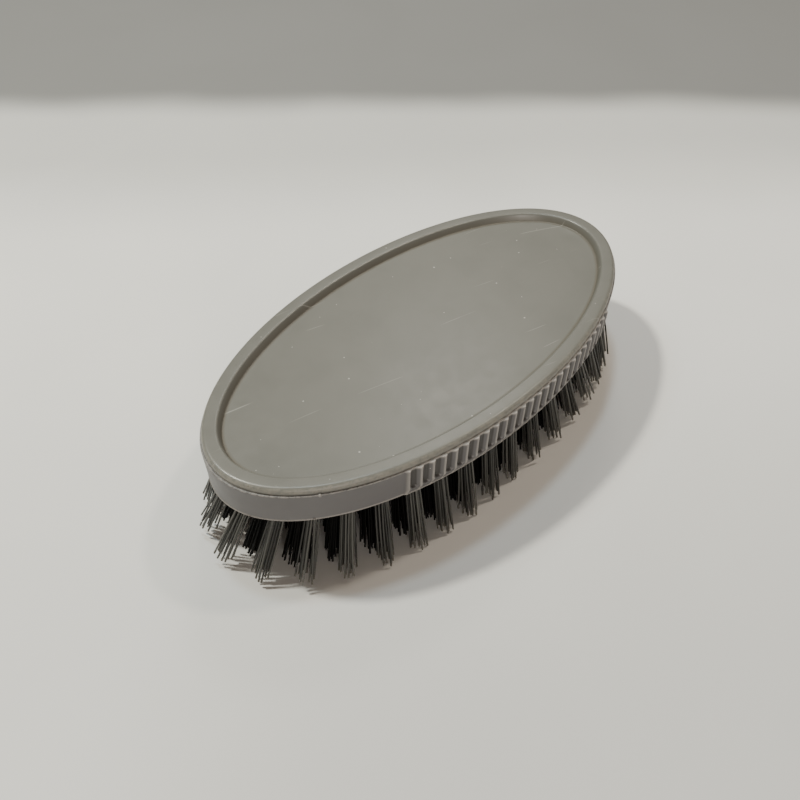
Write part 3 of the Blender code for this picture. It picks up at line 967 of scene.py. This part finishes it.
def mark_strands(tree, given, copies):
    number = copies["Duplicate Index"]
    strand = result(tree, "GeometryNodeInputIndex")
    seeds = [plus(tree, given["Seed"], float(step)) for step in range(1, 6)]
    turn = product(tree, random_value(tree, read_back(tree, "tuft", "INT"), given["Seed"]), TUFT_TURN)
    angle = plus(tree, product(tree, number, GOLDEN_ANGLE), turn)
    filled = compute(tree, "DIVIDE", plus(tree, number, 0.5), given["Strands"])
    share = compute(tree, "SQRT", filled)
    centre = result(tree, "GeometryNodeInputPosition")
    root = vectors(tree, "ADD", vectors(tree, "ADD", centre, combine(tree, Z=given["Root depth"])),
                   disc_point(tree, angle, product(tree, share, given["Root radius"])))
    lean = read_back(tree, "lean", "FLOAT_VECTOR")
    length = given["Root height"]
    spare = minus(tree, product(tree, length, length), vectors(tree, "DOT_PRODUCT", lean, lean))
    climb = plus(tree, minus(tree, length, compute(tree, "SQRT", spare)),
                 product(tree, given["Strand radius"], TIP_CLEARANCE_SHARE))
    tip = vectors(tree, "SUBTRACT", vectors(tree, "ADD", centre, lean), combine(tree, Z=length))
    tip = vectors(tree, "ADD", tip, combine(tree, Z=climb))
    tip = vectors(tree, "ADD", tip, disc_point(tree, angle, product(tree, share, given["Tip radius"])))
    unit = random_vector(tree, strand, seeds[0])
    scatter = vectors(tree, "SCALE", unit, given["Tip scatter"])
    rare = compute(tree, "POWER", random_value(tree, strand, seeds[1]), STRAY_POWER)
    stray = vectors(tree, "SCALE", unit, product(tree, rare, given["Stray"]))
    level = vectors(tree, "MULTIPLY", vectors(tree, "ADD", scatter, stray), (1.0, 1.0, 0.0))
    short = compute(tree, "POWER", random_value(tree, strand, seeds[2]), SHORT_POWER)
    tip = vectors(tree, "ADD", vectors(tree, "ADD", tip, level),
                  combine(tree, Z=product(tree, short, given["Unevenness"])))
    bend = vectors(tree, "SCALE", random_vector(tree, strand, seeds[3]), given["Bow"])
    marked = copies["Geometry"]
    for name, value in (("root", root), ("tip", tip), ("bend", bend)):
        marked = stored(tree, marked, name, value, "FLOAT_VECTOR")
    return stored(tree, marked, "tone", random_value(tree, strand, seeds[4]), "FLOAT")


print(f"neighbours on the spiral are {math.degrees(GOLDEN_ANGLE):.1f} degrees apart")


# %% [markdown]
# The second half draws the strands. A line is copied to each marked point and made real, because the
# points of an instance can't be moved. It is then set between that strand's root and tip with a
# slight bow, and a thin tube is swept along it.

# %% Build the tufts' tree
STRAND_COUNTS = {"Sides": 6, "Strand points": 5}


def bent_lines(tree, given, seeds):
    line = result(tree, "GeometryNodeCurvePrimitiveLine")
    inputs = {"Curve": line, "Count": given["Strand points"]}
    line = result(tree, "GeometryNodeResampleCurve", inputs)
    lines = result(tree, "GeometryNodeInstanceOnPoints", {"Points": seeds, "Instance": line})
    lines = result(tree, "GeometryNodeRealizeInstances", {"Geometry": lines})
    along = add_node(tree, "GeometryNodeSplineParameter").outputs["Factor"]
    lines = stored(tree, lines, "along", along, "FLOAT")
    root, tip, bend = (read_back(tree, name, "FLOAT_VECTOR") for name in ("root", "tip", "bend"))
    run = vectors(tree, "SCALE", vectors(tree, "SUBTRACT", tip, root), along)
    hump = product(tree, minus(tree, 1.0, along), 4.0, along)
    bowed = vectors(tree, "ADD", vectors(tree, "ADD", root, run), vectors(tree, "SCALE", bend, hump))
    return result(tree, "GeometryNodeSetPosition", {"Geometry": lines, "Position": bowed})


def tuft_tree():
    sockets = [(label, "Float") for label in (*STRAND_SIZES, "Tip radius")]
    sockets += [(label, "Int") for label in (*STRAND_COUNTS, "Strands", "Seed")]
    tree, given = geometry_tree("filament_tufts", sockets + [("Material", "Material")])
    points = result(tree, "GeometryNodeMeshToPoints", {"Mesh": given["Geometry"]})
    points = stored(tree, points, "tuft", result(tree, "GeometryNodeInputIndex"), "INT")
    inputs = {"Geometry": points, "Amount": given["Strands"]}
    copies = add_node(tree, "GeometryNodeDuplicateElements", inputs, domain="POINT").outputs
    lines = bent_lines(tree, given, mark_strands(tree, given, copies))
    inputs = {"Resolution": given["Sides"], "Radius": given["Strand radius"]}
    circle = result(tree, "GeometryNodeCurvePrimitiveCircle", inputs)
    inputs = {"Curve": lines, "Profile Curve": circle, "Fill Caps": True}
    finish_tree(tree, result(tree, "GeometryNodeCurveToMesh", inputs), given["Material"])
    return tree


TUFT_TREE = tuft_tree()
print("tree:", TUFT_TREE.name, "with", len(TUFT_TREE.nodes), "nodes")


# %% [markdown]
# ## The tufts
# The tree takes one point for each tuft. Black tufts have more strands than grey ones, which closes
# the gaps as in the photograph. The outer ring, the second ring and the inner rings together each have their
# own seed.

# %% Grow the tufts
STRAND_SHARP_EDGE = math.radians(65)
GREY_STRANDS = 17
GREY_TIP_RADIUS = 2.7 * MM
BLACK_STRANDS = 44
BLACK_TIP_RADIUS = 3.8 * MM


def tuft_points(places):
    mesh = bpy.data.meshes.new("tuft_points")
    mesh.from_pydata([root for root, lean in places], [], [])
    leans = mesh.attributes.new("lean", "FLOAT_VECTOR", "POINT")
    leans.data.foreach_set("vector", [value for root, lean in places for value in lean])
    return link_object("tuft_points", mesh)


def grow_tufts(name, places, strands, tip_radius, material, seed):
    made = run_tree(tuft_points(places), TUFT_TREE, {
        **STRAND_SIZES, **STRAND_COUNTS, "Tip radius": tip_radius, "Strands": strands,
        "Seed": seed, "Material": material,
    }, name, STRAND_SHARP_EDGE)
    print(f"{name}: {len(places)} tufts, {len(places) * strands} strands, {len(made.data.polygons)} faces")
    return made


GREY = (GREY_STRANDS, GREY_TIP_RADIUS, grey_filament)
BLACK = (BLACK_STRANDS, BLACK_TIP_RADIUS, black_filament)
outer_tufts = grow_tufts("outer_tufts", tuft_rings[0], *GREY, seed=3)
second_tufts = grow_tufts("second_ring_tufts", tuft_rings[1], *BLACK, seed=17)
inner_tufts = grow_tufts("inner_tufts", tuft_rings[2] + tuft_rings[3] + tuft_rings[4], *BLACK, seed=29)


# %% [markdown]
# ## Riding on the frame
# Nothing on the brush moves, so every piece rides on the one body. Each piece stands for the CAD
# nodes that it dresses, which stay behind, hidden, as the solid model.

# %% Tie the pieces to the frame
def dress(piece, nodes, material=None):
    if material is not None:
        piece.data.materials.clear()
        piece.data.materials.append(material)
    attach(piece, "root")
    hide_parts(*nodes)


def nodes_named(*starts):
    return [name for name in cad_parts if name.startswith(starts)]


dress(cover, ["top_cover"], cover_plastic)
dress(block, ["bristle_block"])
dress(outer_tufts, nodes_named("outer_tuft"))
dress(second_tufts, nodes_named("second_ring"))
dress(inner_tufts, nodes_named("third_ring", "fourth_ring", "centre_row"))
print("every node is dressed:", all(node.hide_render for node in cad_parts.values()))


# %% [markdown]
# ## The floor
# The brush stands on pale paper, with painted light that makes it brighter behind the brush and on
# its left, and painted shade towards a fold at the back. The floor is one flat face. Its tones follow
# how far a point lies from the origin, away from the camera and to its right, with borders made
# uneven by noise.

# %% Lay the floor
FLOOR_SIZE = 3.0
NEAR_TONE = (0.650, 0.650, 0.645, 1)
# Painted light and shade on the paper: lighter on the left and far off, darker towards and past the fold.
PAINTED_LIGHT_LEFT_TONE = (0.780, 0.778, 0.765, 1)
PAINTED_LIGHT_FAR_TONE = (0.870, 0.865, 0.845, 1)
PAINTED_SHADE_BACK_TONE = (0.610, 0.610, 0.595, 1)
SHADE_TONE = (0.212, 0.213, 0.210, 1)
CLOUD_TONE = (0.30, 0.30, 0.31, 1)
LEFT_BORDER = (-0.020, -0.100)
FAR_BORDER = (-0.100, 0.110)
BACK_BORDER = (0.110, 0.190)
FOLD_BORDER = (0.213, 0.246)
FOLD_TILT = 0.074
BORDER_WAVE = 0.04
BORDER_SCALE = 5.0
CLOUD_SCALE = 11.0
CLOUD_RANGE = (0.25, 0.75)
CLOUD_SHARE = 0.07
PAPER_GRAIN_SCALE = 900.0
PAPER_GRAIN_SHARE = 0.02
CREASE_SCALE = 9.0
CREASE_DEPTH = 2.0 * MM
CREASE_STRENGTH = 0.5
PAPER_ROUGHNESS = 0.85


def floor_material():
    material, tree, shader, place = new_material("paper")
    right, _, forward = camera_axes(CAMERA_AZIMUTH, 0.0, 0.0)
    aside = vectors(tree, "DOT_PRODUCT", place, tuple(right))
    away = vectors(tree, "DOT_PRODUCT", place, tuple(forward))
    wave = product(tree, noise(tree, place, BORDER_SCALE, detail=3.0), BORDER_WAVE)
    wavy = plus(tree, away, wave)
    tilted = plus(tree, wavy, product(tree, aside, FOLD_TILT))
    cloud = noise(tree, place, CLOUD_SCALE, detail=2.0, distortion=0.8)
    layers = [
        # Painted light on the left and far off, then painted shade before and past the fold.
        (smooth_step(tree, aside, *LEFT_BORDER), PAINTED_LIGHT_LEFT_TONE),
        (smooth_step(tree, wavy, *FAR_BORDER), PAINTED_LIGHT_FAR_TONE),
        (smooth_step(tree, wavy, *BACK_BORDER), PAINTED_SHADE_BACK_TONE),
        (smooth_step(tree, tilted, *FOLD_BORDER), SHADE_TONE),
        (smooth_step(tree, cloud, *CLOUD_RANGE, 0.0, CLOUD_SHARE), CLOUD_TONE),
    ]
    colour = NEAR_TONE
    for mask, tone in layers:
        colour = blend_colours(tree, mask, colour, tone)
    feed(tree, shader["Base Color"], colour)
    grain = product(tree, noise(tree, place, PAPER_GRAIN_SCALE, detail=3.0), PAPER_GRAIN_SHARE)
    creases = noise(tree, place, CREASE_SCALE, detail=4.0, distortion=0.4)
    add_bump(tree, shader, plus(tree, grain, creases), CREASE_DEPTH, CREASE_STRENGTH)
    shader["Roughness"].default_value = PAPER_ROUGHNESS
    return material


def lay_floor():
    work = bmesh.new()
    half = FLOOR_SIZE / 2
    corners = [Vector((x, y, 0.0)) for x, y in ((-half, -half), (half, -half), (half, half), (-half, half))]
    work.faces.new([work.verts.new(corner) for corner in corners])
    floor = finish_mesh(work, "paper_floor")
    floor.data.materials.append(floor_material())
    return floor


print("floor:", lay_floor().name, FLOOR_SIZE, "m square")


# %% [markdown]
# ## The light
# In the photograph the brush's shadow has four edges, so it had four lamps: a warm one behind it, a
# cool one almost over it, a weak cool one further left, and a weak warm one on the right. Each one's
# direction was solved from its edge, and is given by how far it throws the rim's shadow from under
# the rim. The sheen on the cover is a fifth one, broad and far off, where a mirror would show it. A
# low warm panel on the camera's left lights the near side, and each rib shades the groove behind
# it. A faint warm surround fills the rest.

# %% Set the lights
LAMP_HEIGHT = 1.0
LAMPS = [
    # Name, the throw along X and Y of the rim's shadow, the lamp's width, watts, colour
    ("warm_back", 8.0 * MM, -17.6 * MM, 0.09, 10.6, (1.0, 0.96, 0.82)),
    ("cool_top", -3.3 * MM, -6.3 * MM, 0.10, 2.7, (0.74, 0.92, 1.0)),
    ("cool_left", 11.5 * MM, -21.0 * MM, 0.13, 1.45, (0.75, 0.97, 1.0)),
    ("warm_right", -19.5 * MM, 6.3 * MM, 0.10, 3.6, (1.0, 0.88, 0.72)),
    ("far_window", -23.2 * MM, -19.6 * MM, 0.24, 1.85, (1.0, 0.96, 0.89)),
]
FILL_PLACE = Vector((-0.60, -0.82, 0.22))
FILL_SIZE = 0.34
FILL_WATTS = 4.3
FILL_COLOUR = (1.0, 0.92, 0.83)
AMBIENT = (0.182, 0.148, 0.116)


def lamp(name, place, width, watts, colour):
    # A round lamp that faces the origin.
    data = bpy.data.lights.new(name, "AREA")
    data.shape = "DISK"
    data.size = width
    data.energy = watts
    data.color = colour
    light = link_object(name, data)
    light.location = place
    light.rotation_euler = (-light.location).to_track_quat("-Z", "Y").to_euler()


def surround(colour):
    world = bpy.data.worlds.new("studio")
    world.use_nodes = True
    background = world.node_tree.nodes["Background"]
    background.inputs["Color"].default_value = (*colour, 1.0)
    background.inputs["Strength"].default_value = 1.0
    bpy.context.scene.world = world


for name, throw_x, throw_y, width, watts, colour in LAMPS:
    lamp(name, Vector((-throw_x / RIM_Z, -throw_y / RIM_Z, 1.0)) * LAMP_HEIGHT, width, watts, colour)
lamp("soft_fill", FILL_PLACE, FILL_SIZE, FILL_WATTS, FILL_COLOUR)
surround(AMBIENT)
